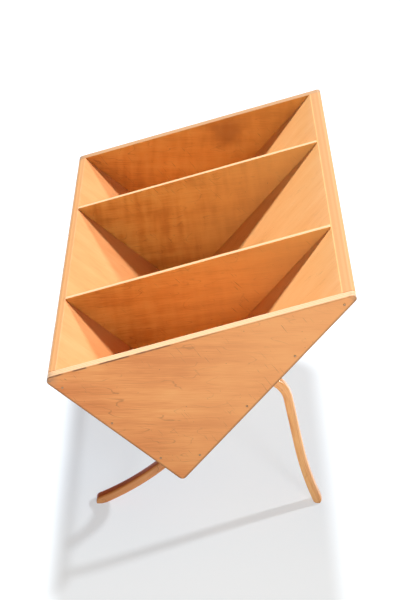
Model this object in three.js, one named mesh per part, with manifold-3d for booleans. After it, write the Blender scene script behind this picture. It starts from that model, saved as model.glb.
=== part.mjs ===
// Magazine rack: a plywood trough with a right-angled V section, split into three pockets
// by two thin dividers and carried on two bentwood leg frames.
//
// Millimetres, +Z up. The trough runs along Y and its front end faces -Y. Looking along +Y,
// the short wall is on the left (-X) and the long wall on the right (+X).
// The origin is on the floor, under the middle of the outer box.
//
// The boards are drawn in the tray's own frame: X climbs the long wall from the keel, which is
// the sharp outer corner of the V, and Z climbs the short wall. The tray is then tipped up.

import * as THREE from "three";
import { mergeVertices } from "three/addons/utils/BufferGeometryUtils.js";
import Module from "manifold-3d";

// Tray
const LONG_SIDE = 275; // outer face of the long wall, from the keel to its rim corner
const SHORT_SIDE = 182; // outer face of the short wall, square to the long one
const LONG_SLOPE = THREE.MathUtils.degToRad(50.2); // long wall's climb from the floor
const KEEL_HEIGHT = 76; // keel above the floor
const BOARD = 12; // plywood of the walls and end panels
const DIVIDER = 6; // plywood of the dividers
const END_POCKET = 160; // clear length of the front and the back pocket
const MIDDLE_POCKET = 241; // clear length of the middle pocket
const KEEL_RADIUS = 5; // rounding along the keel
const LONG_CORNER_RADIUS = 3.6; // rounding of the outer rim corner at the long wall
const SHORT_CORNER_RADIUS = 5; // and at the short wall
const RIM_ARRIS = 1; // easing of the walls' inner rim edges
const PANEL_ARRIS = 0.6; // easing round the end panels' faces
const DIVIDER_TIP_RADIUS = 0.6;
const DIVIDER_RISE = 1; // how far the dividers stand proud of the rim

// Leg frames: one bent strip each, foot, rising limb, run under the long wall, bend, leg, foot
const LEG_THICKNESS = 9.6; // across the strip, in the plane of its curve
const LEG_WIDTH = 13; // along the trough
const LEG_ARRIS = 2.6; // rounding of the strip's long edges
const LEG_INSET = 79; // from an end panel's outer face to the strip
const CONTACT_START = 5; // where the strip meets the long wall, measured from the keel
const CONTACT_END = 85.5; // where it leaves it
const LIMB_RADIUS = 280; // long curve of the rising limb
const BEND_RADIUS = 29; // tight bend, to the middle of the strip
const LEG_LEAN = THREE.MathUtils.degToRad(77.7); // upright leg's slope below the bend
const LEG_STRAIGHT = 57; // straight length below the bend
const FLARE_RADIUS = 362; // outward curve down to the foot
const LIMB_TOE_RISE = 2.6; // centre of the limb's round toe above the floor
const LEG_TOE_RISE = 3.6; // centre of the upright leg's round toe above the floor

// Fasteners
const FIT_GAP = 0.3; // clearance between pieces that touch
const SCREW_LENGTH = 18;
const SCREW_RADIUS = 1.75;
const SCREW_HEAD_RADIUS = 3.5;
const SCREW_HEAD_RIM = 0.4; // straight edge of the countersunk head
const SCREW_POINT = 3; // length of the tapered end
const SLOT_WIDTH = 0.9;
const SLOT_DEPTH = 1;
const SCREW_MARGIN = 20; // from each end of the contact run to a screw
const LEG_SCREWS = 2; // in each leg frame
const PIN_LENGTH = 25;
const PIN_RADIUS = 0.7;
const PIN_HEAD_RADIUS = 1.1;
const PIN_HEAD_HEIGHT = 0.8;
const PIN_POINT = 1.4; // length of the tapered end
const PIN_RIM_MARGIN = 22; // from a rim corner to the nearest pin
const PIN_KEEL_MARGIN = 34; // from the keel to the nearest pin
const KEEL_PIN_MARGIN = 36; // from a wall's end to the nearest pin along the keel
const LONG_EDGE_PINS = 4;
const SHORT_EDGE_PINS = 3;
const KEEL_PINS = 5;
const DIVIDER_PINS = 2; // in each of a divider's two glued edges

// Fineness of the faceted surfaces
const CHORD_ERROR = 0.08; // largest gap between an arc and its chords
const ARRIS_STEPS = 2;
const SCREW_SIDES = 16;
const PIN_SIDES = 8;
const OVERCUT = 1; // how far a cutter stands out of the face that it enters
const SAME_POINT = 1e-4;

// Sizes that follow from the ones above
const LENGTH = 2 * (BOARD + END_POCKET + DIVIDER) + MIDDLE_POCKET;
const FRONT = -LENGTH / 2;
const WALL_START = FRONT + BOARD + FIT_GAP;
const WALL_LENGTH = LENGTH - 2 * (BOARD + FIT_GAP);
const FRONT_DIVIDER_START = FRONT + BOARD + END_POCKET;
const LEG_START = FRONT + LEG_INSET;
const QUARTER_TURN = Math.PI / 2;

const wasm = await Module();
wasm.setup();
const { Manifold, Mesh } = wasm;

// ---- Outlines, drawn in a plane whose second axis becomes Z ----

// Points of an arc from one angle to another; it turns clockwise when the second is smaller.
function arc(centre, radius, from, to) {
  const finest = 2 * Math.acos(1 - CHORD_ERROR / Math.max(radius, CHORD_ERROR));
  const steps = Math.max(2, Math.ceil(Math.abs(to - from) / finest));
  return new THREE.EllipseCurve(centre.x, centre.y, radius, radius, from, to, to < from).getPoints(steps);
}

// A closed shape through the points, with doubled points left out.
function closedShape(points) {
  const distinct = points.filter((point, index) => {
    const previous = points[(index + points.length - 1) % points.length];
    return point.distanceTo(previous) > SAME_POINT;
  });
  return new THREE.Shape(distinct);
}

// A convex polygon, counter-clockwise, each corner given as [x, y, rounding radius].
function roundedPolygon(corners) {
  const place = corners.map(([x, y]) => new THREE.Vector2(x, y));
  const points = corners.flatMap(([, , radius], index) => {
    const corner = place[index];
    if (radius === 0) return [corner];
    const toPrevious = place.at(index - 1).clone().sub(corner).normalize();
    const toNext = place[(index + 1) % place.length].clone().sub(corner).normalize();
    const half = Math.acos(toPrevious.dot(toNext)) / 2;
    const inward = toPrevious.clone().add(toNext).normalize();
    const centre = corner.clone().addScaledVector(inward, radius / Math.sin(half));
    const sweep = Math.PI - 2 * half;
    const start = toPrevious.angle() + QUARTER_TURN;
    return arc(centre, radius, start, start + sweep);
  });
  return closedShape(points);
}

// The board or strip that an outline sweeps along Y, with its two faces' edges eased.
function sweptBoard(outline, start, thickness, arris) {
  const geometry = new THREE.ExtrudeGeometry(outline, {
    depth: thickness - 2 * arris,
    bevelEnabled: arris > 0,
    bevelThickness: arris,
    bevelSize: arris,
    bevelOffset: -arris,
    bevelSegments: ARRIS_STEPS,
  });
  geometry.rotateX(QUARTER_TURN);
  geometry.translate(0, start + thickness - arris, 0);
  return welded(geometry);
}

// ---- Cutting ----

// A geometry with nothing but its positions, each vertex shared by the triangles that meet there.
function welded(geometry) {
  geometry.deleteAttribute("normal");
  geometry.deleteAttribute("uv");
  return mergeVertices(geometry, SAME_POINT);
}

function solidOf(geometry) {
  return new Manifold(
    new Mesh({
      numProp: 3,
      vertProperties: geometry.attributes.position.array,
      triVerts: new Uint32Array(geometry.index.array),
    }),
  );
}

function geometryOf(solid) {
  const mesh = solid.getMesh();
  const geometry = new THREE.BufferGeometry();
  geometry.setAttribute("position", new THREE.BufferAttribute(mesh.vertProperties, 3));
  geometry.setIndex(new THREE.BufferAttribute(mesh.triVerts, 1));
  geometry.computeVertexNormals();
  return geometry;
}

function cut(geometry, cutters) {
  const left = cutters.reduce((solid, cutter) => solid.subtract(solidOf(cutter)), solidOf(geometry));
  return geometryOf(left);
}

// ---- Fasteners, drawn point down on the Y axis with the head's top at the origin ----

function turned(profile, sides) {
  const points = profile.map(([x, y]) => new THREE.Vector2(x, y));
  return welded(new THREE.LatheGeometry(points, sides));
}

// grow widens a fastener into the cutter for its hole, which then starts above the head.
function pinGeometry(grow = 0) {
  const profile = [
    [0, -PIN_LENGTH - grow],
    [PIN_RADIUS + grow, -PIN_LENGTH + PIN_POINT - grow],
    [PIN_RADIUS + grow, -PIN_HEAD_HEIGHT - grow],
    [PIN_HEAD_RADIUS + grow, -PIN_HEAD_HEIGHT - grow],
    [PIN_HEAD_RADIUS + grow, grow > 0 ? OVERCUT : 0],
    [0, grow > 0 ? OVERCUT : 0],
  ];
  return turned(profile, PIN_SIDES);
}

function screwGeometry(grow = 0) {
  const taper = SCREW_HEAD_RADIUS - SCREW_RADIUS;
  const profile = [
    [0, -SCREW_LENGTH - grow],
    [SCREW_RADIUS + grow, -SCREW_LENGTH + SCREW_POINT - grow],
    [SCREW_RADIUS + grow, -SCREW_HEAD_RIM - taper - grow],
    [SCREW_HEAD_RADIUS + grow, -SCREW_HEAD_RIM - grow],
    [SCREW_HEAD_RADIUS + grow, grow > 0 ? OVERCUT : 0],
    [0, grow > 0 ? OVERCUT : 0],
  ];
  const body = turned(profile, SCREW_SIDES);
  if (grow > 0) return body;
  const slotLength = 2 * (SCREW_HEAD_RADIUS + OVERCUT);
  return cut(body, [welded(new THREE.BoxGeometry(slotLength, 2 * SLOT_DEPTH, SLOT_WIDTH))]);
}

// A place for a fastener: the middle of its head and the direction that its head faces.
function spot(name, x, y, z, facing) {
  const turn = new THREE.Quaternion().setFromUnitVectors(new THREE.Vector3(0, 1, 0), facing);
  const matrix = new THREE.Matrix4().compose(
    new THREE.Vector3(x, y, z),
    turn,
    new THREE.Vector3(1, 1, 1),
  );
  return { name, matrix };
}

function holes(cutter, spots) {
  return spots.map(({ matrix }) => cutter.clone().applyMatrix4(matrix));
}

// Evenly spaced places from first to last, both included.
function evenly(first, last, count) {
  return Array.from({ length: count }, (_, index) => first + ((last - first) * index) / (count - 1));
}

// ---- Materials ----

function wood(color, roughness) {
  return new THREE.MeshStandardMaterial({ color, roughness, metalness: 0 });
}

const panelPly = wood(0xd9925a, 0.5);
const wallPly = wood(0xf0b070, 0.45);
const dividerPly = wood(0xc47a3c, 0.5);
const bentwood = wood(0xd88a48, 0.35);
const steel = new THREE.MeshStandardMaterial({ color: 0x8d8a84, roughness: 0.45, metalness: 1 });

// ---- The tray's boards, in the tray's frame ----

const rimX = (z) => LONG_SIDE * (1 - z / SHORT_SIDE); // the rim's line, from its height
const rimZ = (x) => SHORT_SIDE * (1 - x / LONG_SIDE);
const along = { x: new THREE.Vector3(1, 0, 0), y: new THREE.Vector3(0, 1, 0), z: new THREE.Vector3(0, 0, 1) };
const against = {
  x: new THREE.Vector3(-1, 0, 0),
  y: new THREE.Vector3(0, -1, 0),
  z: new THREE.Vector3(0, 0, -1),
};

const panelOutline = roundedPolygon([
  [0, 0, KEEL_RADIUS],
  [LONG_SIDE, 0, LONG_CORNER_RADIUS],
  [0, SHORT_SIDE, SHORT_CORNER_RADIUS],
]);

// The long wall runs down to the keel, and the short wall stands on its inner face.
const longWallOutline = roundedPolygon([
  [0, 0, KEEL_RADIUS],
  [LONG_SIDE, 0, LONG_CORNER_RADIUS],
  [rimX(BOARD), BOARD, RIM_ARRIS],
  [0, BOARD, 0],
]);

const shortWallFoot = BOARD + FIT_GAP;
const shortWallOutline = roundedPolygon([
  [0, shortWallFoot, 0],
  [BOARD, shortWallFoot, 0],
  [BOARD, rimZ(BOARD), RIM_ARRIS],
  [0, SHORT_SIDE, SHORT_CORNER_RADIUS],
]);

const dividerEdge = BOARD + FIT_GAP;
const rimLength = Math.hypot(LONG_SIDE, SHORT_SIDE);
const dividerOutline = roundedPolygon([
  [dividerEdge, dividerEdge, 0],
  [rimX(dividerEdge) + (DIVIDER_RISE * rimLength) / SHORT_SIDE, dividerEdge, DIVIDER_TIP_RADIUS],
  [dividerEdge, rimZ(dividerEdge) + (DIVIDER_RISE * rimLength) / LONG_SIDE, DIVIDER_TIP_RADIUS],
]);

// Pins through an end panel into the end grain of both walls.
function panelPins(name, y, facing) {
  const middle = BOARD / 2;
  const climb = evenly(PIN_KEEL_MARGIN, LONG_SIDE - PIN_RIM_MARGIN, LONG_EDGE_PINS);
  const rise = evenly(PIN_KEEL_MARGIN, SHORT_SIDE - PIN_RIM_MARGIN, SHORT_EDGE_PINS);
  return [
    ...climb.map((x, index) => spot(`${name}_pin_long_${index + 1}`, x, y, middle, facing)),
    ...rise.map((z, index) => spot(`${name}_pin_short_${index + 1}`, middle, y, z, facing)),
  ];
}

// Pins through the walls into a divider's edges.
function dividerPins(name, y) {
  const climb = evenly(PIN_KEEL_MARGIN, rimX(BOARD) - 2 * PIN_RIM_MARGIN, DIVIDER_PINS);
  const rise = evenly(PIN_KEEL_MARGIN, rimZ(BOARD) - 2 * PIN_RIM_MARGIN, DIVIDER_PINS);
  return {
    long: climb.map((x, index) => spot(`${name}_pin_long_${index + 1}`, x, y, 0, against.z)),
    short: rise.map((z, index) => spot(`${name}_pin_short_${index + 1}`, 0, y, z, against.x)),
  };
}

// Pins through the long wall into the short wall's lower edge.
const keelPins = evenly(WALL_START + KEEL_PIN_MARGIN, -WALL_START - KEEL_PIN_MARGIN, KEEL_PINS).map(
  (y, index) => spot(`keel_pin_${index + 1}`, BOARD / 2, y, 0, against.z),
);

// Screws from inside the tray, through the long wall into a leg frame.
function legScrews(name, y) {
  return evenly(CONTACT_START + SCREW_MARGIN, CONTACT_END - SCREW_MARGIN, LEG_SCREWS).map((x, index) =>
    spot(`${name}_screw_${index + 1}`, x, y, BOARD, along.z),
  );
}

const frontPanelPins = panelPins("front_panel", FRONT, against.y);
const backPanelPins = panelPins("back_panel", -FRONT, along.y);
const dividerMiddle = FRONT_DIVIDER_START + DIVIDER / 2;
const frontDividerPins = dividerPins("front_divider", dividerMiddle);
const backDividerPins = dividerPins("back_divider", -dividerMiddle);
const legMiddle = LEG_START + LEG_WIDTH / 2;
const frontLegScrews = legScrews("front_leg", legMiddle);
const backLegScrews = legScrews("back_leg", -legMiddle);

const pinHole = pinGeometry(FIT_GAP);
const screwHole = screwGeometry(FIT_GAP);
const panelPinHoles = holes(pinHole, [...frontPanelPins, ...backPanelPins]);

const tray = new THREE.Group();
tray.rotation.y = -LONG_SLOPE;
tray.position.z = KEEL_HEIGHT;
tray.updateMatrix();

function add(group, name, geometry, material) {
  const mesh = new THREE.Mesh(geometry, material);
  mesh.name = name;
  group.add(mesh);
  return mesh;
}

const panelBlank = sweptBoard(panelOutline, FRONT, BOARD, PANEL_ARRIS);
const backPanelBlank = sweptBoard(panelOutline, -FRONT - BOARD, BOARD, PANEL_ARRIS);
add(tray, "front_end_panel", cut(panelBlank, holes(pinHole, frontPanelPins)), panelPly);
add(tray, "back_end_panel", cut(backPanelBlank, holes(pinHole, backPanelPins)), panelPly);

const longWallBlank = sweptBoard(longWallOutline, WALL_START, WALL_LENGTH, 0);
const longWallHoles = [
  ...panelPinHoles,
  ...holes(pinHole, [...keelPins, ...frontDividerPins.long, ...backDividerPins.long]),
  ...holes(screwHole, [...frontLegScrews, ...backLegScrews]),
];
add(tray, "long_wall", cut(longWallBlank, longWallHoles), wallPly);

const shortWallBlank = sweptBoard(shortWallOutline, WALL_START, WALL_LENGTH, 0);
const shortWallHoles = [
  ...panelPinHoles,
  ...holes(pinHole, [...keelPins, ...frontDividerPins.short, ...backDividerPins.short]),
];
add(tray, "short_wall", cut(shortWallBlank, shortWallHoles), wallPly);

for (const [name, start, pins] of [
  ["front_divider", FRONT_DIVIDER_START, frontDividerPins],
  ["back_divider", -FRONT_DIVIDER_START - DIVIDER, backDividerPins],
]) {
  const blank = sweptBoard(dividerOutline, start, DIVIDER, 0);
  add(tray, name, cut(blank, holes(pinHole, [...pins.long, ...pins.short])), dividerPly);
}

// ---- Leg frames, upright, with the keel above x = 0 ----

// The strip's outline, with a full round at each toe. Its middle line is four arcs and two
// straights, each tangent to the next. Heading is the middle line's direction, from the limb's
// toe towards the upright leg's toe.
function legOutline() {
  const half = LEG_THICKNESS / 2;
  const uphill = new THREE.Vector2(Math.cos(LONG_SLOPE), Math.sin(LONG_SLOPE));
  const outward = new THREE.Vector2(Math.sin(LONG_SLOPE), -Math.cos(LONG_SLOPE));
  const underWall = (station) =>
    new THREE.Vector2(0, KEEL_HEIGHT)
      .addScaledVector(uphill, station)
      .addScaledVector(outward, FIT_GAP + half);

  const limbCentre = underWall(CONTACT_START).addScaledVector(outward, -LIMB_RADIUS);
  const bendCentre = underWall(CONTACT_END).addScaledVector(outward, BEND_RADIUS);
  const leanNormal = new THREE.Vector2(Math.sin(LEG_LEAN), Math.cos(LEG_LEAN));
  const leanDown = new THREE.Vector2(Math.cos(LEG_LEAN), -Math.sin(LEG_LEAN));
  const flareCentre = bendCentre
    .clone()
    .addScaledVector(leanNormal, BEND_RADIUS + FLARE_RADIUS)
    .addScaledVector(leanDown, LEG_STRAIGHT);

  const limbToeHeading = Math.acos((limbCentre.y - LIMB_TOE_RISE) / LIMB_RADIUS);
  const legToeHeading = -Math.acos((flareCentre.y - LEG_TOE_RISE) / FLARE_RADIUS);
  const onArc = (centre, radius, heading) =>
    new THREE.Vector2(Math.sin(heading), -Math.cos(heading)).multiplyScalar(radius).add(centre);
  const limbToe = onArc(limbCentre, LIMB_RADIUS, limbToeHeading);
  const legToe = onArc(flareCentre, FLARE_RADIUS, legToeHeading);

  // An arc's angle is its heading a quarter turn back, or on the bend a quarter turn forward.
  const limbFoot = limbToeHeading - QUARTER_TURN;
  const limbTop = LONG_SLOPE - QUARTER_TURN;
  const bendStart = LONG_SLOPE + QUARTER_TURN;
  const bendEnd = QUARTER_TURN - LEG_LEAN;
  const flareTop = -LEG_LEAN - QUARTER_TURN;
  const flareFoot = legToeHeading - QUARTER_TURN;
  return closedShape([
    ...arc(limbCentre, LIMB_RADIUS + half, limbFoot, limbTop),
    ...arc(bendCentre, BEND_RADIUS - half, bendStart, bendEnd),
    ...arc(flareCentre, FLARE_RADIUS + half, flareTop, flareFoot),
    ...arc(legToe, half, flareFoot, flareFoot + Math.PI),
    ...arc(flareCentre, FLARE_RADIUS - half, flareFoot, flareTop),
    ...arc(bendCentre, BEND_RADIUS + half, bendEnd, bendStart),
    ...arc(limbCentre, LIMB_RADIUS - half, limbTop, limbFoot),
    ...arc(limbToe, half, limbFoot + Math.PI, limbFoot + 2 * Math.PI),
  ]);
}

// Everything below the floor: cutting it away leaves the feet flat.
const belowFloor = welded(new THREE.BoxGeometry(2 * LONG_SIDE, LENGTH, KEEL_HEIGHT));
belowFloor.translate(0, 0, -KEEL_HEIGHT / 2);

const rack = new THREE.Group();
const outline = legOutline();
for (const [name, start, screws] of [
  ["front_leg_frame", LEG_START, frontLegScrews],
  ["back_leg_frame", -LEG_START - LEG_WIDTH, backLegScrews],
]) {
  const pilots = holes(screwHole, screws).map((cutter) => cutter.applyMatrix4(tray.matrix));
  const strip = sweptBoard(outline, start, LEG_WIDTH, LEG_ARRIS);
  add(rack, name, cut(strip, [belowFloor, ...pilots]), bentwood);
}

// ---- Fasteners in place ----

const pin = pinGeometry();
const screw = screwGeometry();
const allPins = [
  ...frontPanelPins,
  ...backPanelPins,
  ...keelPins,
  ...[frontDividerPins, backDividerPins].flatMap(({ long, short }) => [...long, ...short]),
];
for (const { name, matrix } of allPins) add(tray, name, pin, steel).applyMatrix4(matrix);
for (const { name, matrix } of [...frontLegScrews, ...backLegScrews]) {
  add(tray, name, screw, steel).applyMatrix4(matrix);
}

// The keel stands above x = 0 so far: bring the middle of the outer box there instead.
rack.add(tray);
rack.updateMatrixWorld(true);
const middle = new THREE.Box3().setFromObject(rack).getCenter(new THREE.Vector3());
rack.position.x = -middle.x;

export default rack;
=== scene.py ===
import math

import bpy
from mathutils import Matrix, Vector


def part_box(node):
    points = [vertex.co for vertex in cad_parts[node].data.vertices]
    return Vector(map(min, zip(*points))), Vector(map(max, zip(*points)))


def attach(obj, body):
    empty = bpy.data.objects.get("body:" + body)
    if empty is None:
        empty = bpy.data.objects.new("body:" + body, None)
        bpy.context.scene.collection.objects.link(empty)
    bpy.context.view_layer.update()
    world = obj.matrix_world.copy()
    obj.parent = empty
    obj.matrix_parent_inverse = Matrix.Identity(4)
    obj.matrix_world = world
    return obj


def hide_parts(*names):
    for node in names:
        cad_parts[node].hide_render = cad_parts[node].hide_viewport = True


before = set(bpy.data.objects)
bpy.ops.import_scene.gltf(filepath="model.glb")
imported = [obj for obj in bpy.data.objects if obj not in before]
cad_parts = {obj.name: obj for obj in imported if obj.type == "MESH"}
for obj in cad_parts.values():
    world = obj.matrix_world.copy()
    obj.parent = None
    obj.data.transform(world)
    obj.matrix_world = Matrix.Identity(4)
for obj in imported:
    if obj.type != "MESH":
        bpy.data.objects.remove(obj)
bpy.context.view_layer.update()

# ---------------------------------------------------------------- camera and room
# The rack stands on a plain pale floor in a white studio. The key hangs high behind it, a harder
# lamp stands far out to the right, and a soft one in front lifts the near panel. The floor also
# glows, a painted light that lifts the shadows on it, most just in front of the rack.
LENS = 114.1
EYE = (-0.0042, -1.9567, 1.0793)
LOOK_DOWN, LOOK_RIGHT = math.radians(25.75), math.radians(0.15)
FLOOR_HALF = 20.0
FLOOR_PALE, FLOOR_SHADE = (0.48, 0.53, 0.57, 1), (0.46, 0.51, 0.55, 1)
# Painted light: the floor's glow, a little further off and more just in front of the rack.
FLOOR_PAINTED_GLOW, NEAR_PAINTED_GLOW = (0.42, 0.46, 0.50, 1), (0.56, 0.56, 0.555, 1)
NEAR_FROM, NEAR_TO = -0.13, -0.42
FLOOR_PATCHES = 3.0
HORIZON_GLOW, ZENITH_GLOW = 0.05, 0.04
BRIGHT_SIDE = (0.35, -0.94, 0.0)
FRONT_GLOW = 0.25
BACKDROP = 0.97
GLOW_LOW, GLOW_HIGH = 0.10, 0.62
FRONT_SPREAD = (-0.2, 1.0)

scene = bpy.context.scene
scene.view_settings.view_transform = "Standard"
scene.view_settings.look = "None"

camera = bpy.data.objects.new("camera", bpy.data.cameras.new("camera"))
camera.data.lens = LENS
camera.location = EYE
camera.rotation_euler = (math.pi / 2 - LOOK_DOWN, 0, -LOOK_RIGHT)
scene.collection.objects.link(camera)
scene.camera = camera


def lamp(name, travel, strength, spread, colour=(1, 1, 1)):
    """A far lamp whose light travels along one direction; spread is how wide it looks."""
    light = bpy.data.lights.new(name, "SUN")
    light.energy, light.angle, light.color = strength, math.radians(spread), colour
    hung = bpy.data.objects.new(name, light)
    hung.rotation_euler = Vector(travel).to_track_quat("-Z", "Y").to_euler()
    scene.collection.objects.link(hung)


lamp("key_behind", (0.0, -0.72, -1.0), 5.4, 8)
lamp("side_lamp", (-0.735, -0.475, -0.485), 2.1, 4)
lamp("front_lamp", (-0.30, 0.85, -0.45), 0.55, 12)

# Sockets of the Mix node, whose names repeat for every kind of value.
MIX_SHARE, MIX_UNDER, MIX_OVER, MIX_COLOUR = 0, 6, 7, 2


class Tone:
    """A socket of a node tree whose value varies; each sum on it adds a Math node."""

    def __init__(self, tree, socket=None):
        self.tree, self.socket = tree, socket

    def node(self, kind, settings=None, sockets=None, outlet=0):
        """Adds a node: its settings first, then the values or links of its sockets."""
        made = self.tree.nodes.new(kind)
        for name, value in (settings or {}).items():
            if name == "stops":
                for n, (place, colour) in enumerate(value):
                    stops = made.color_ramp.elements
                    stop = stops[n] if n < 2 else stops.new(place)
                    stop.position, stop.color = place, colour
            else:
                setattr(made, name, value)
        for key, value in (sockets or {}).items():
            if isinstance(value, Tone):
                self.tree.links.new(value.socket, made.inputs[key])
            else:
                made.inputs[key].default_value = value
        return Tone(self.tree, made.outputs[outlet])

    def sum(self, operation, *parts):
        return self.node("ShaderNodeMath", {"operation": operation}, dict(enumerate(parts)))

    def __add__(self, other):
        return self.sum("ADD", self, other)

    def __sub__(self, other):
        return self.sum("SUBTRACT", self, other)

    def __mul__(self, other):
        return self.sum("MULTIPLY", self, other)

    def __truediv__(self, other):
        return self.sum("DIVIDE", self, other)

    def __rsub__(self, other):
        return self.sum("SUBTRACT", other, self)

    def __neg__(self):
        return self.sum("MULTIPLY", self, -1.0)

    def __abs__(self):
        return self.sum("ABSOLUTE", self)

    __radd__ = __add__
    __rmul__ = __mul__

    def fold(self):
        """Rises and falls between 0 and a half, once for every whole number."""
        return self.sum("PINGPONG", self, 0.5)

    def step(self, low, high, start=0.0, end=1.0):
        """Runs smoothly from start at low to end at high."""
        return self.node("ShaderNodeMapRange", {"interpolation_type": "SMOOTHSTEP"},
                         {"Value": self, "From Min": low, "From Max": high,
                          "To Min": start, "To Max": end})

    def mix(self, under, over, blend="MIX"):
        """Lays one colour over another by this tone."""
        return self.node("ShaderNodeMix", {"data_type": "RGBA", "blend_type": blend},
                         {MIX_SHARE: self, MIX_UNDER: under, MIX_OVER: over}, MIX_COLOUR)


world = bpy.data.worlds.new("studio")
scene.world = world
world.use_nodes = True
room = Tone(world.node_tree)
ray = room.node("ShaderNodeTexCoord", outlet="Generated")
low_part = room.node("ShaderNodeSeparateXYZ", None, {0: ray}, "Z").step(GLOW_LOW, GLOW_HIGH, 1, 0)
facing = room.node("ShaderNodeVectorMath", {"operation": "DOT_PRODUCT"},
                   {0: ray, 1: BRIGHT_SIDE}, "Value").step(*FRONT_SPREAD)
seen = room.node("ShaderNodeLightPath")
glow = ZENITH_GLOW + low_part * (HORIZON_GLOW + FRONT_GLOW * facing)
world.node_tree.links.new(
    (seen * BACKDROP + (1 - seen) * glow).socket,
    world.node_tree.nodes["Background"].inputs["Strength"])
world.node_tree.nodes["Background"].inputs["Color"].default_value = (1, 1, 1, 1)


def new_finish(name):
    """An empty material, its shader, and a tone to start its nodes from."""
    finish = bpy.data.materials.new(name)
    finish.use_nodes = True
    return finish, finish.node_tree.nodes["Principled BSDF"], Tone(finish.node_tree)


def feed(shader, **tones):
    """Gives the shader's sockets their tones and plain numbers."""
    for name, tone in tones.items():
        socket = shader.inputs[name.replace("_", " ")]
        if isinstance(tone, Tone):
            tone.tree.links.new(tone.socket, socket)
        else:
            socket.default_value = tone


def paint(finish, piece):
    piece.data.materials.clear()
    piece.data.materials.append(finish)


def spot_on(start):
    """The place of a point in the piece's own, Object coordinates."""
    return start.node("ShaderNodeTexCoord", outlet="Object")


def part_of(vector, axis):
    """One of a vector's three numbers."""
    return vector.node("ShaderNodeSeparateXYZ", None, {0: vector}, axis)


floor_mesh = bpy.data.meshes.new("floor")
floor_mesh.from_pydata([(x * FLOOR_HALF, y * FLOOR_HALF, 0)
                        for x, y in ((-1, -1), (1, -1), (1, 1), (-1, 1))], [], [(0, 1, 2, 3)])
floor = bpy.data.objects.new("floor", floor_mesh)
scene.collection.objects.link(floor)
floor_finish, shader, start = new_finish("floor_paint")
floor_place = spot_on(start)
patches = start.node("ShaderNodeTexNoise", None, {"Vector": floor_place, "Scale": FLOOR_PATCHES})
# Painted light: the floor glows to lift the shadows on it, most just in front of the rack.
nearness = part_of(floor_place, "Y").step(NEAR_TO, NEAR_FROM, 1.0, 0.0)
feed(shader, Base_Color=patches.mix(FLOOR_PALE, FLOOR_SHADE), Roughness=0.9,
     Specular_IOR_Level=0.1, Emission_Color=nearness.mix(FLOOR_PAINTED_GLOW, NEAR_PAINTED_GLOW),
     Emission_Strength=1.0)
paint(floor_finish, floor)

# ---------------------------------------------------------------- end panels
# Two triangles of 12 mm birch plywood that close the tray front and back. They cover the
# ends of both walls, and are glued and pinned to them; the rim shows the plies.
SLOPE = math.radians(50.2)
UP_LONG = Vector((math.cos(SLOPE), 0, math.sin(SLOPE)))
UP_SHORT = Vector((-math.sin(SLOPE), 0, math.cos(SLOPE)))


def start_of(node, direction):
    """Where a CAD node begins along a direction."""
    return min(corner.co.dot(direction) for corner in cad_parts[node].data.vertices)


KEEL = UP_LONG * start_of("short_wall", UP_LONG) + UP_SHORT * start_of("long_wall", UP_SHORT)
LONG_SIDE, SHORT_SIDE = 0.275, 0.182
BOARD = 0.012
PLY = 0.0017
WOOD_BUMP, WOOD_DEPTH = 0.15, 0.0004
WOOD_GLOSS = 0.35
RIM_POINT = KEEL + UP_LONG * LONG_SIDE
RIM_LINE = (UP_SHORT * SHORT_SIDE - UP_LONG * LONG_SIDE).normalized()
RIM_OUT = Vector((-RIM_LINE.z, 0, RIM_LINE.x))
RIM_OUT = RIM_OUT if RIM_OUT.z > 0 else -RIM_OUT


def board_place(start, turn, place):
    """Object coordinates turned so that X runs with the grain and Z through the board."""
    return start.node("ShaderNodeMapping", {"vector_type": "POINT"},
                      {"Vector": spot_on(start), "Rotation": turn, "Location": place})


def reach(start, direction, origin):
    """How far a point lies from origin along a direction."""
    along = start.node("ShaderNodeVectorMath", {"operation": "DOT_PRODUCT"},
                       {0: spot_on(start), 1: direction}, "Value")
    return along - Vector(direction).dot(Vector(origin))


# Patch sizes of each pattern in the wood, with the grain and across it.
BAND, BLOTCH, FIBRE = (0.16, 0.009), (0.08, 0.04), (0.022, 0.0010)
SWIRL, RIPPLE, CURL = (0.17, 0.032), (0.03, 0.010), (0.010, 0.045)
RING_BREAKS, RING_WIDTH = (0.03, 0.02), 0.048
RIPPLES, FIBRES = 0.10, 0.8
SCRATCH, DENT, SCRATCHED_AREA = (0.018, 0.0008), (0.0026, 0.0022), (0.05, 0.05)
WAVER, PLY_WAVER, END_GRAIN = (0.08, 0.05), 0.12, (0.004, 0.0006)
FACE_START, FACE_FULL = 0.0009, 0.0003


def distance(start, point):
    """How far a point lies from a fixed one."""
    return start.node("ShaderNodeVectorMath", {"operation": "DISTANCE"},
                      {0: spot_on(start), 1: point}, "Value")


def larger(one, other):
    return one.sum("MAXIMUM", one, other)


def bumped(start, height, strength=WOOD_BUMP, depth=WOOD_DEPTH):
    return start.node("ShaderNodeBump", None,
                      {"Strength": strength, "Distance": depth, "Height": height})


def cloud(place, along, across, seed, detail=2.0, roughness=0.5):
    """Noise whose patches are so long with the grain and so wide across it."""
    shrunk = place.node("ShaderNodeVectorMath", {"operation": "MULTIPLY"},
                        {0: place, 1: (1 / along, 1 / across, 1 / across)})
    return place.node("ShaderNodeTexNoise", {"noise_dimensions": "4D"},
                      {"Vector": shrunk, "W": seed, "Scale": 1.0, "Detail": detail,
                       "Roughness": roughness})


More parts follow.
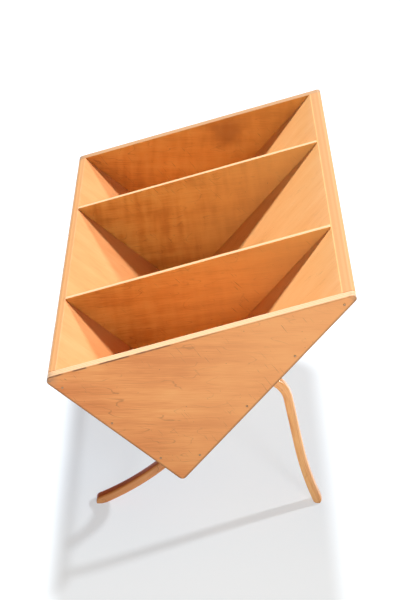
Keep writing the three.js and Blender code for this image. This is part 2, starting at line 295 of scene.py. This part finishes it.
def veneer(place, colours, seed, rings=16, flame=0.0, ring_depth=0.45, bands=0.9, blotches=0.9):
    """Rotary-cut birch: pale and deep bands, thin winding rings, fibres and flame."""
    pale, middle, deep, ring = colours
    band = cloud(place, *BAND, seed, 3)
    blotch = cloud(place, *BLOTCH, seed + 1, 2)
    fibre = cloud(place, *FIBRE, seed + 2, 2)
    swirl = cloud(place, *SWIRL, seed + 3, 1.5) + RIPPLES * cloud(place, *RIPPLE, seed + 4)
    curl = cloud(place, *CURL, seed + 5, 2)
    broken = cloud(place, *RING_BREAKS, seed + 6).step(0.42, 0.58)
    lines = (swirl * rings).fold().step(0.0, RING_WIDTH, 1.0, 0.0) * broken
    depth = (0.5 + bands * (band - 0.5) + blotches * (blotch - 0.5) + FIBRES * (fibre - 0.5)
             + flame * (curl - 0.5))
    wood = depth.node("ShaderNodeValToRGB",
                      {"stops": [(0.2, pale), (0.8, deep), (0.5, middle)]}, {0: depth})
    return (lines * ring_depth).mix(wood, ring), fibre, lines


def scratches(place, seed, turn=0.9):
    """Sparse dark scratches across the grain and small dents, where things were dropped in."""
    aslant = place.node("ShaderNodeMapping", None, {"Vector": place, "Rotation": (0, 0, turn)})
    scratch = cloud(aslant, *SCRATCH, seed, 1).step(0.67, 0.74)
    dent = cloud(place, *DENT, seed + 1, 1).step(0.755, 0.79)
    where = cloud(place, *SCRATCHED_AREA, seed + 2, 1).step(0.45, 0.6)
    return larger(scratch * where, dent)


def plies(place, half, seed, pale, tan, glue_depth=1.0):
    """The cut edge of the board: thin plies, pale and tan in turn, with glue between."""
    through = part_of(place, "Z")
    wave = (through / (2 * PLY) + 0.25 + PLY_WAVER * (cloud(place, *WAVER, seed) - 0.5)).fold()
    grainy = cloud(place, *END_GRAIN, seed + 1, 1)
    layer = (wave + 0.25 * (grainy - 0.5)).step(0.20, 0.30)
    glue = abs(layer - 0.5).step(0.0, 0.45, 0.35, 0.0)
    inside = abs(through).step(half - FACE_START, half - FACE_FULL, 1.0, 0.0)
    return (glue * glue_depth).mix(layer.mix(pale, tan), PLY_GLUE), inside


PLY_PALE, PLY_TAN = (0.83, 0.56, 0.33, 1), (0.76, 0.44, 0.22, 1)
PLY_GLUE = (0.35, 0.16, 0.06, 1)
PANEL_WOOD = ((0.97, 0.42, 0.13, 1), (0.89, 0.325, 0.088, 1), (0.75, 0.235, 0.055, 1),
              (0.34, 0.10, 0.028, 1))
# Painted light: the front panel's paler colour on its right side.
PANEL_PAINTED_LIGHT = (0.99, 0.43, 0.145, 1)
INNER_WOOD = ((0.80, 0.38, 0.088, 1), (0.73, 0.31, 0.063, 1), (0.58, 0.22, 0.04, 1),
              (0.30, 0.09, 0.02, 1))
GRIME, WORN_GREY = (0.16, 0.07, 0.03, 1), (0.26, 0.17, 0.11, 1)
BROWNED = (0.70, 0.68, 0.62, 1)
HANDLED = 0.05
DULL_PALE, DULL_TAN = (0.62, 0.36, 0.19, 1), (0.52, 0.27, 0.12, 1)
STAIN = KEEL + Vector((0.054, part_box("back_end_panel")[0].y, 0.1555))
STAIN_CORE, STAIN_RIM, STAIN_DEPTH = 0.006, 0.034, 0.55
SKIN = (0.0005, 0.0016)
ARRIS, ARRIS_CLEAN = (0.0006, 0.0018), 0.75
CORNER_WEAR, EDGE_WEAR = (0.003, 0.019), 0.0030
WEAR_PATCH, FRAYING, PATINA_PATCH = (0.006, 0.004), (0.02, 0.02), (0.03, 0.03)
STAIN_FRAY, PATINA_FRAY = 0.03, 0.02
HANDLED_WOOD = (0.80, 0.66, 0.55, 1)


def painted_light_side(start, low, high, most):
    """How much painted light the wood takes: nothing at low, growing towards the brighter right
    side at high.
    """
    return reach(start, (1, 0, 0), KEEL).step(low, high, 0.0, most)


def panel_finish(name, y_middle, y_outer, colours, edges, seed, flame, stained):
    """Wood with a painted lighter right side, a browner short edge, a dirty arris and worn rim
    corners.
    """
    finish, shader, start = new_finish(name)
    place = board_place(start, (-math.pi / 2, 0, 0), (0, 0, y_middle))
    outer = abs(reach(start, (0, 1, 0), (0, y_outer, 0))).step(*SKIN, 1.0, 0.0)
    short_edge = reach(start, UP_LONG, KEEL)
    long_edge = reach(start, UP_SHORT, KEEL)
    below_rim = reach(start, -RIM_OUT, RIM_POINT)

    wood, fibre, lines = veneer(place, colours, seed, flame=flame)
    # Painted light: the wood grows paler towards the right side, where more light falls.
    wood = painted_light_side(start, -0.10, 0.15, 0.6).mix(wood, colours[0] if stained else PANEL_PAINTED_LIGHT)
    if stained:
        ragged = STAIN_FRAY * (cloud(place, *FRAYING, seed + 50, 3) - 0.5)
        stain = (distance(start, STAIN) + ragged).step(STAIN_CORE, STAIN_RIM, STAIN_DEPTH, 0.0)
        wood = stain.mix(wood, colours[3])
        wood = outer.mix(wood, BROWNED, "MULTIPLY")
    edge, inside = plies(place, BOARD / 2, seed + 20, *edges)

    ragged = PATINA_FRAY * (cloud(place, *PATINA_PATCH, seed + 30) - 0.5)
    patina = (short_edge + ragged).step(0.0, HANDLED, 0.55, 0.0)
    marks = scratches(place, seed + 40)
    arris = below_rim.step(*ARRIS, 1.0, 0.0) * outer * cloud(
        place, *FRAYING, seed + 31, 3).step(0.36, 0.50, 0.15, 0.85)
    arris = arris * (1 - painted_light_side(start, -0.05, 0.06, ARRIS_CLEAN))
    worn = sum(distance(start, corner + Vector((0, y_outer, 0))).step(*CORNER_WEAR, 1.0, 0.0)
               for corner in (RIM_POINT, KEEL + UP_SHORT * SHORT_SIDE))
    worn = worn * cloud(place, *WEAR_PATCH, seed + 33, 4).step(0.36, 0.56, 0.25, 1.0)
    rubbed = short_edge.sum("MINIMUM", short_edge, long_edge).step(0.0, EDGE_WEAR, 0.75, 0.0)

    colour = (patina * 0.6).mix(inside.mix(wood, edge), HANDLED_WOOD, "MULTIPLY")
    dirt = larger(larger(marks * 0.55, arris), rubbed * (1 - inside))
    colour = (worn * 0.9).mix(dirt.mix(colour, GRIME), WORN_GREY)
    rough = 0.40 + 0.12 * (fibre - 0.5) + 0.25 * dirt
    feed(shader, Base_Color=colour, Roughness=rough, Specular_IOR_Level=WOOD_GLOSS,
         Normal=bumped(start, 0.6 * fibre - 0.5 * lines - 2.0 * marks))
    return finish


front_panel, back_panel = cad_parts["front_end_panel"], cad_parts["back_end_panel"]
low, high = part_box("front_end_panel")
paint(panel_finish("front_panel_birch", (low.y + high.y) / 2, low.y, PANEL_WOOD,
                   (PLY_PALE, PLY_TAN), seed=3, flame=0.0, stained=False), front_panel)
low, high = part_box("back_end_panel")
paint(panel_finish("back_panel_birch", (low.y + high.y) / 2, high.y, INNER_WOOD,
                   (DULL_PALE, DULL_TAN), seed=40, flame=0.9, stained=True), back_panel)

# ---------------------------------------------------------------- tray walls
# The long and the short wall are planks of the same plywood, glued at the keel; their grain runs
# up the slope and their insides are paler than their outsides. The long wall's paler colours are
# a painted sheen, reflected light painted into the wood.
SHORT_WOOD = ((0.75, 0.360, 0.152, 1), (0.71, 0.312, 0.117, 1), (0.65, 0.255, 0.085, 1),
              (0.46, 0.16, 0.05, 1))
# Painted sheen: paler than the short wall's colours, standing in for light reflected off the long
# wall.
LONG_WOOD_PAINTED_SHEEN = ((0.92, 0.51, 0.21, 1), (0.89, 0.455, 0.17, 1), (0.82, 0.375, 0.12, 1),
             (0.56, 0.22, 0.07, 1))
RIM_PALE, RIM_TAN = (0.66, 0.325, 0.125, 1), (0.62, 0.295, 0.105, 1)


def wall_finish(name, colours, turn, place, seed):
    """Even, pale wood inside and browner wood outside."""
    finish, shader, start = new_finish(name)
    place = board_place(start, turn, place)
    wood, fibre, _ = veneer(place, colours, seed, 9, ring_depth=0.15, bands=0.35)
    edge, inside = plies(place, BOARD / 2, seed + 20, RIM_PALE, RIM_TAN, 0.35)
    outside = part_of(place, "Z").step(FACE_START - BOARD / 2, FACE_FULL - BOARD / 2)
    wood = outside.mix(wood, BROWNED, "MULTIPLY")
    marks = scratches(place, seed + 40, 0.3)
    colour = (marks * 0.5).mix(inside.mix(wood, edge), GRIME)
    feed(shader, Base_Color=colour, Roughness=0.42 + 0.10 * (fibre - 0.5),
         Normal=bumped(start, fibre), Specular_IOR_Level=WOOD_GLOSS)
    return finish


paint(wall_finish("long_wall_birch", LONG_WOOD_PAINTED_SHEEN, (0, SLOPE, 0),
                  (-KEEL.dot(UP_LONG), 0, -KEEL.dot(UP_SHORT) - BOARD / 2), 80),
      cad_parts["long_wall"])
paint(wall_finish("short_wall_birch", SHORT_WOOD, (0, SLOPE - math.pi / 2, 0),
                  (KEEL.dot(UP_SHORT), 0, -KEEL.dot(UP_LONG) - BOARD / 2), 120),
      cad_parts["short_wall"])

# ---------------------------------------------------------------- dividers
# Two thin triangles of 6 mm plywood that part the tray into three pockets. Their veneer is curly;
# painted light pales their right side and painted shade dulls them towards the keel.
DIVIDER_WOOD = ((0.83, 0.44, 0.105, 1), (0.75, 0.35, 0.072, 1), (0.60, 0.245, 0.042, 1),
                (0.34, 0.11, 0.022, 1))
# Colours of painted light on the right side and painted shade near the keel.
DIVIDER_PAINTED_LIGHT, KEEL_PAINTED_SHADE = (0.98, 0.56, 0.18, 1), (0.72, 0.86, 0.95, 1)
KEEL_SHADE_HEIGHT = (0.05, 0.15)
GRAIN_TILT = math.radians(-8)


def divider_finish(name, y_middle, half, seed, flame, keel_shade):
    """Curly wood, paler on its right side with painted light and duller towards the keel with
    painted shade.
    """
    finish, shader, start = new_finish(name)
    place = board_place(start, (-math.pi / 2, 0, GRAIN_TILT), (0, 0, y_middle))
    wood, fibre, _ = veneer(place, DIVIDER_WOOD, seed, flame=flame)
    # Painted light: the divider grows paler towards its right side.
    wood = painted_light_side(start, -0.06, 0.15, 0.75).mix(wood, DIVIDER_PAINTED_LIGHT)
    # Painted shade: the divider grows darker and less red towards the keel.
    keel_shaded = reach(start, (0, 0, 1), KEEL).step(*KEEL_SHADE_HEIGHT, keel_shade, 0.0)
    wood = keel_shaded.mix(wood, KEEL_PAINTED_SHADE, "MULTIPLY")
    edge, inside = plies(place, half, seed + 20, PLY_PALE, PLY_TAN)
    marks = scratches(place, seed + 40)
    colour = (marks * 0.5).mix(inside.mix(wood, edge), GRIME)
    feed(shader, Base_Color=colour, Roughness=0.45 + 0.10 * (fibre - 0.5),
         Normal=bumped(start, fibre), Specular_IOR_Level=WOOD_GLOSS)
    return finish


for side, seed, flame, keel_shade in (("front", 160, 0.5, 1.0), ("back", 200, 1.2, 0.4)):
    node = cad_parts[side + "_divider"]
    low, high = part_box(node.name)
    paint(divider_finish(side + "_divider_birch", (low.y + high.y) / 2, (high.y - low.y) / 2,
                         seed, flame, keel_shade), node)

# ---------------------------------------------------------------- leg frames
# Each pair of legs is one strip of birch, steamed and bent along a jig, lacquered, and
# screwed under the long wall: limb, run under the wall, tight bend, upright leg, flared foot.
LEG_WOOD = ((0.97, 0.55, 0.21, 1), (0.92, 0.44, 0.14, 1), (0.74, 0.28, 0.065, 1),
            (0.42, 0.14, 0.03, 1))
# Painted shade for the limb, which stands in the tray's shade.
LIMB_PAINTED_SHADE = (0.62, 0.25, 0.04, 1)
LIMB_END, LIMB_BLEND = 0.12, 0.06
LEG_THICKNESS, LEG_WIDTH, LEG_ARRIS = 0.0096, 0.013, 0.0026
LIMB_RADIUS, BEND_RADIUS, FLARE_RADIUS = 0.280, 0.029, 0.362
CONTACT_START, CONTACT_END = 0.005, 0.0855
FIT_GAP = 0.0003
LEG_LEAN, LEG_STRAIGHT = math.radians(77.7), 0.057
LIMB_TOE_RISE, LEG_TOE_RISE = 0.0026, 0.0036
ARC_STEPS, TOE_STEPS = 28, 7
LAMINA, LAMINA_WAVER = 0.0016, (0.05, 0.01)
MARRED_PATCH = (0.02, 0.004)
SIDE_START = 0.0006
FILLET_STEPS = 5
NO_LIMIT = -1.0


def new_tree(name, sizes):
    """A Geometry Nodes tree with geometry in and out, and a named input for each size."""
    tree = bpy.data.node_groups.new(name, "GeometryNodeTree")
    for way in ("INPUT", "OUTPUT"):
        tree.interface.new_socket("Geometry", in_out=way, socket_type="NodeSocketGeometry")
    for label in sizes:
        tree.interface.new_socket(label, in_out="INPUT", socket_type="NodeSocketFloat")
    entry = tree.nodes.new("NodeGroupInput")
    return tree, Tone(tree), {socket.name: Tone(tree, socket) for socket in entry.outputs}


def grow(name, points, edges, attributes, tree, sizes, geometry, finish):
    """Ends the tree with plain geometry and a finish, and returns the mesh piece it makes."""
    whole = geometry.node("GeometryNodeRealizeInstances", None, {0: geometry})
    whole = whole.node("GeometryNodeSetMaterial", None, {"Geometry": whole, "Material": finish})
    tree.links.new(whole.socket, tree.nodes.new("NodeGroupOutput").inputs[0])
    mesh = bpy.data.meshes.new(name)
    mesh.from_pydata(points, edges, [])
    for label, values in attributes.items():
        vector = isinstance(values[0], Vector)
        kept = mesh.attributes.new(label, "FLOAT_VECTOR" if vector else "FLOAT", "POINT")
        for place, value in zip(kept.data, values):
            setattr(place, "vector" if vector else "value", value)
    rough = bpy.data.objects.new(name, mesh)
    scene.collection.objects.link(rough)
    growth = rough.modifiers.new("growth", "NODES")
    growth.node_group = tree
    for item in tree.interface.items_tree:
        if item.name in sizes:
            growth[item.identifier] = sizes[item.name]
    grown = bpy.data.meshes.new_from_object(
        rough.evaluated_get(bpy.context.evaluated_depsgraph_get()))
    bpy.data.objects.remove(rough)
    piece = bpy.data.objects.new(name, grown)
    scene.collection.objects.link(piece)
    return piece


def kept_value(tone, label, kind="FLOAT"):
    """A value that was stored on the points under a name."""
    return tone.node("GeometryNodeInputNamedAttribute", {"data_type": kind}, {"Name": label})


def strip_path():
    """The strip's middle line: each point, its heading, and how much of the thickness is left."""
    outward = Vector((math.sin(SLOPE), 0, -math.cos(SLOPE)))
    under = KEEL + outward * (FIT_GAP + LEG_THICKNESS / 2)
    limb = under + UP_LONG * CONTACT_START - outward * LIMB_RADIUS
    bend = under + UP_LONG * CONTACT_END + outward * BEND_RADIUS
    lean = Vector((math.cos(LEG_LEAN), 0, -math.sin(LEG_LEAN)))
    flare = (bend + lean * LEG_STRAIGHT
             + Vector((-lean.z, 0, lean.x)) * (BEND_RADIUS + FLARE_RADIUS))
    limb_foot = math.acos((limb.z - LIMB_TOE_RISE) / LIMB_RADIUS)
    leg_foot = -math.acos((flare.z - LEG_TOE_RISE) / FLARE_RADIUS)
    path = []
    for centre, radius, start, end in ((limb, LIMB_RADIUS, limb_foot, SLOPE),
                                       (bend, -BEND_RADIUS, SLOPE, -LEG_LEAN),
                                       (flare, FLARE_RADIUS, -LEG_LEAN, leg_foot)):
        for step in range(ARC_STEPS + 1):
            heading = start + (end - start) * step / ARC_STEPS
            path.append((centre + Vector((math.sin(heading), 0, -math.cos(heading))) * radius,
                         heading, 1.0))
    for end, way in ((0, -1), (-1, 1)):
        foot, heading, _ = path[end]
        ahead = Vector((math.cos(heading), 0, math.sin(heading))) * way * LEG_THICKNESS / 2
        toe = []
        for step in range(1, TOE_STEPS):
            turn = math.pi / 2 * step / (TOE_STEPS - 0.5)
            toe.append((foot + ahead * math.sin(turn), heading, math.cos(turn)))
        path = toe[::-1] + path if way < 0 else path + toe
    return path


def leg_finish():
    """Grain that follows the strip, thin laminae on its sides, and painted shade that darkens the
    limb under the tray.
    """
    finish, shader, start = new_finish("bentwood_birch")
    along = start.node("ShaderNodeAttribute", {"attribute_name": "along"}, outlet="Fac")
    section = start.node("ShaderNodeAttribute", {"attribute_name": "section"}, outlet="Vector")
    height = part_of(section, "Y")
    place = start.node("ShaderNodeCombineXYZ", None,
                       {0: along, 1: part_of(spot_on(start), "Y"), 2: height})
    wood, fibre, _ = veneer(place, LEG_WOOD, 240)
    side = abs(part_of(section, "X")).step(LEG_WIDTH / 2 - LEG_ARRIS, LEG_WIDTH / 2 - SIDE_START)
    lamina = (height / LAMINA + 0.2 * cloud(place, *LAMINA_WAVER, 250)).fold()
    lamina = lamina.step(0.0, 0.10, 1.0, 0.0) * side
    marred = cloud(place, *MARRED_PATCH, 251, 3).step(0.52, 0.66) * 0.35
    # Painted shade: the limb under the tray is darker and browner, its front and back faces less
    # so.
    limb_shade = (1 - 0.55 * side) * along.step(LIMB_END, LIMB_END + LIMB_BLEND, 1.0, 0.0)
    colour = limb_shade.mix(wood, LIMB_PAINTED_SHADE, "MULTIPLY")
    colour = (lamina * 0.25 + marred * 0.3).mix(colour, LEG_WOOD[3])
    feed(shader, Base_Color=colour, Roughness=0.30 + 0.15 * (fibre - 0.5) + 0.2 * marred,
         Coat_Weight=0.45 - 0.40 * limb_shade, Coat_Roughness=0.12,
         Normal=bumped(start, fibre - 0.6 * lamina, 0.12, 0.0003))
    return finish


low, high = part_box("front_leg_frame")
back_low, back_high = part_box("back_leg_frame")
front_middle, back_middle = (low.y + high.y) / 2, (back_low.y + back_high.y) / 2
sizes = {"Thickness": LEG_THICKNESS, "Width": LEG_WIDTH, "Arris": LEG_ARRIS,
         "First strip": front_middle, "Strip spacing": back_middle - front_middle}
tree, start, given = new_tree("bent_strip", sizes)
line = start.node("GeometryNodeMeshToCurve", None, {"Mesh": given["Geometry"]})
line = start.node("GeometryNodeSetCurveNormal", {"mode": "Z_UP"}, {"Curve": line})
line = start.node("GeometryNodeStoreNamedAttribute", {"data_type": "FLOAT"}, {
    "Geometry": line, "Name": "along",
    "Value": start.node("GeometryNodeSplineParameter", None, None, "Length")})
outline = start.node("GeometryNodeCurvePrimitiveQuadrilateral", None,
                     {"Width": given["Width"], "Height": given["Thickness"]})
outline = start.node("GeometryNodeFilletCurve", {"mode": "POLY"},
                     {"Curve": outline, "Count": FILLET_STEPS, "Radius": given["Arris"]})
outline = start.node("GeometryNodeStoreNamedAttribute", {"data_type": "FLOAT_VECTOR"}, {
    "Geometry": outline, "Name": "section", "Value": start.node("GeometryNodeInputPosition")})
strip = start.node("GeometryNodeCurveToMesh", None,
                   {"Curve": line, "Profile Curve": outline, "Fill Caps": True})
height = part_of(kept_value(start, "section", "FLOAT_VECTOR"), "Y")
thinner = start.node("ShaderNodeVectorMath", {"operation": "SCALE"}, {
    0: kept_value(start, "lift", "FLOAT_VECTOR"),
    "Scale": height * (kept_value(start, "thin") - 1)})
strip = start.node("GeometryNodeSetPosition", None, {"Geometry": strip, "Offset": thinner})
floored = start.node("ShaderNodeVectorMath", {"operation": "MAXIMUM"},
                     {0: start.node("GeometryNodeInputPosition"), 1: (NO_LIMIT, NO_LIMIT, 0)})
strip = start.node("GeometryNodeSetPosition", None, {"Geometry": strip, "Position": floored})
first = start.node("ShaderNodeCombineXYZ", None, {1: given["First strip"]})
spacing = start.node("ShaderNodeCombineXYZ", None, {1: given["Strip spacing"]})
stations = start.node("GeometryNodeMeshLine", None,
                      {"Count": 2, "Start Location": first, "Offset": spacing})
pair = start.node("GeometryNodeInstanceOnPoints", None, {"Points": stations, "Instance": strip})
path = strip_path()
legs = grow("leg_frames", [point for point, _, _ in path],
            [(n, n + 1) for n in range(len(path) - 1)],
            {"lift": [Vector((math.sin(turn), 0, -math.cos(turn))) for _, turn, _ in path],
             "thin": [left for _, _, left in path]},
            tree, sizes, pair, leg_finish())
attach(legs, "root")
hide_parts("front_leg_frame", "back_leg_frame")

# ---------------------------------------------------------------- pins
# Steel pins with small flat heads, hammered flush through the panels and walls into the
# edges that they hold. The heads have darkened under the lacquer.
PIN_SIZES = {"Length": 0.025, "Point": 0.002, "Radius": 0.0007, "Head": 0.0011,
             "Head height": 0.001, "Softened": 0.00015}
SEAM = 0.00001
PIN_SIDES, TIP_SHARE = 14, 0.1
STEEL_WEAR, STEEL_PITS = (0.0012, 0.0012), (0.0004, 0.0004)
FACINGS = (Vector((0, 1, 0)), Vector((0, -1, 0)), UP_LONG, -UP_LONG, UP_SHORT, -UP_SHORT)


def heads_of(names):
    """The middle of each fastener's head and the way it faces, from the CAD nodes."""
    heads, facings = [], []
    for name in names:
        corners = [corner.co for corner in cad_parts[name].data.vertices]
        middle = sum(corners, Vector()) / len(corners)
        tip = max(corners, key=lambda corner: (corner - middle).length)
        facing = max(FACINGS, key=lambda way: way.dot(middle - tip))
        length = max((corner - tip).dot(facing) for corner in corners)
        heads.append(tip + facing * length)
        facings.append(facing)
    return heads, facings


def turned(start, profile, sides):
    """A lathe-turned bar below the origin: its depth and radius at each step down."""
    index = start.node("GeometryNodeInputIndex")

    def pick(values):
        switch = start.tree.nodes.new("GeometryNodeIndexSwitch")
        switch.data_type = "FLOAT"
        while len(switch.index_switch_items) < len(values):
            switch.index_switch_items.new()
        start.tree.links.new(index.socket, switch.inputs[0])
        for socket, value in zip(switch.inputs[1:], values):
            if isinstance(value, Tone):
                start.tree.links.new(value.socket, socket)
            else:
                socket.default_value = value
        return Tone(start.tree, switch.outputs[0])

    steps = start.node("GeometryNodeMeshLine", None, {"Count": len(profile)})
    place = start.node("ShaderNodeCombineXYZ", None, {2: pick([depth for depth, _ in profile])})
    steps = start.node("GeometryNodeSetPosition", None, {"Geometry": steps, "Position": place})
    steps = start.node("GeometryNodeMeshToCurve", None, {"Mesh": steps})
    ring = start.node("GeometryNodeCurvePrimitiveCircle", None,
                      {"Resolution": sides, "Radius": 1.0})
    return start.node("GeometryNodeCurveToMesh", None,
                      {"Curve": steps, "Profile Curve": ring, "Fill Caps": True,
                       "Scale": pick([radius for _, radius in profile])})


def planted(start, given, fastener):
    """One fastener on every point, facing as that point says."""
    facing = kept_value(start, "facing", "FLOAT_VECTOR")
    upright = start.node("FunctionNodeAlignRotationToVector", {"axis": "Z"}, {"Vector": facing})
    return start.node("GeometryNodeInstanceOnPoints", None, {
        "Points": given["Geometry"], "Instance": fastener, "Rotation": upright})


def steel_finish(name, dull, bright, seed):
    """Old steel: worn bright in spots, brown in the hollows, with fine hammer and tool marks."""
    finish, shader, start = new_finish(name)
    place = board_place(start, (0, 0, 0), (0, 0, 0))
    wear = cloud(place, *STEEL_WEAR, seed, 3)
    pits = cloud(place, *STEEL_PITS, seed + 1, 2)
    feed(shader, Base_Color=wear.step(0.40, 0.62).mix(dull, bright),
         Metallic=wear.step(0.35, 0.60, 0.35, 0.9), Roughness=0.35 + 0.35 * pits,
         Normal=bumped(start, wear + pits, 0.25, 0.0001))
    return finish


pins = [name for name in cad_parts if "_pin_" in name]
heads, facings = heads_of(pins)
tree, start, given = new_tree("headed_pin", PIN_SIZES)
pin = turned(start, [
    (0.0, given["Head"] - given["Softened"]),
    (-given["Softened"], given["Head"]),
    (-given["Head height"], given["Head"]),
    (-given["Head height"] - SEAM, given["Radius"]),
    (given["Point"] - given["Length"], given["Radius"]),
    (-given["Length"], given["Radius"] * TIP_SHARE)], PIN_SIDES)
all_pins = grow("pins", heads, [], {"facing": facings}, tree, PIN_SIZES,
                planted(start, given, pin),
                steel_finish("pin_steel", (0.40, 0.20, 0.09, 1), (0.66, 0.42, 0.23, 1), 300))
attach(all_pins, "root")
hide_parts(*pins)

# ---------------------------------------------------------------- screws
# Slotted countersunk steel screws, driven from inside the tray through the long wall into
# the leg frames; each slot stopped where the screw was tight.
SCREW_SIZES = {"Length": 0.018, "Point": 0.004, "Radius": 0.00175, "Head": 0.0035,
               "Head rim": 0.0003, "Slot width": 0.0009, "Slot depth": 0.0009}
SCREW_SIDES, SLOT_OVERRUN = 32, 3
screws = [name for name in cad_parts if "_screw_" in name]
heads, facings = heads_of(screws)
tree, start, given = new_tree("slotted_screw", SCREW_SIZES)
screw = turned(start, [
    (0.0, given["Head"]),
    (-given["Head rim"], given["Head"]),
    (given["Radius"] - given["Head"] - given["Head rim"], given["Radius"]),
    (given["Point"] - given["Length"], given["Radius"]),
    (-given["Length"], given["Radius"] * TIP_SHARE)], SCREW_SIDES)
bar = start.node("ShaderNodeCombineXYZ", None, {
    0: given["Head"] * SLOT_OVERRUN, 1: given["Slot width"], 2: given["Slot depth"] * 2})
slot = start.node("GeometryNodeMeshCube", None, {"Size": bar})
screw = start.node("GeometryNodeMeshBoolean", {"operation": "DIFFERENCE"},
                   {"Mesh 1": screw, "Mesh 2": slot})
all_screws = grow("leg_screws", heads, [], {"facing": facings}, tree, SCREW_SIZES,
                  planted(start, given, screw),
                  steel_finish("screw_steel", (0.20, 0.14, 0.09, 1), (0.55, 0.48, 0.38, 1), 320))
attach(all_screws, "root")
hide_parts(*screws)
